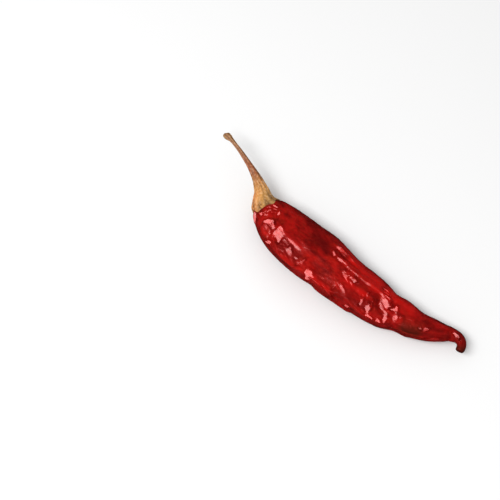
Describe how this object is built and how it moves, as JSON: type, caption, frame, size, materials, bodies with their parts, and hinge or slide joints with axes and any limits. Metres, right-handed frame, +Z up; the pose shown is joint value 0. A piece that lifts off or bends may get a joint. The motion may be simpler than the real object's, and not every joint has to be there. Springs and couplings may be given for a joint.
{
  "type": "dried chilli pepper",
  "caption": "Whole dried red chilli pepper with a crinkled tapering pod, hooked tip, tan calyx and slender stem, lying on its side.",
  "frame": {"origin": "on the surface the chilli lies on, under the middle of its bounding box", "axes": "+X from the stem's end towards the pod's tip, +Z up from the surface that it lies on, +Y towards the side that the stem bends to"},
  "size_m": [0.1278, 0.0326, 0.0144],
  "materials": {
    "pod_skin": "glossy dried skin",
    "calyx_straw": "dry and matte",
    "stem_wood": "dry and matte"
  },
  "bodies": {
    "root": {"pod": "pod_skin", "calyx": "calyx_straw", "stem": "stem_wood"}
  },
  "joints": []
}
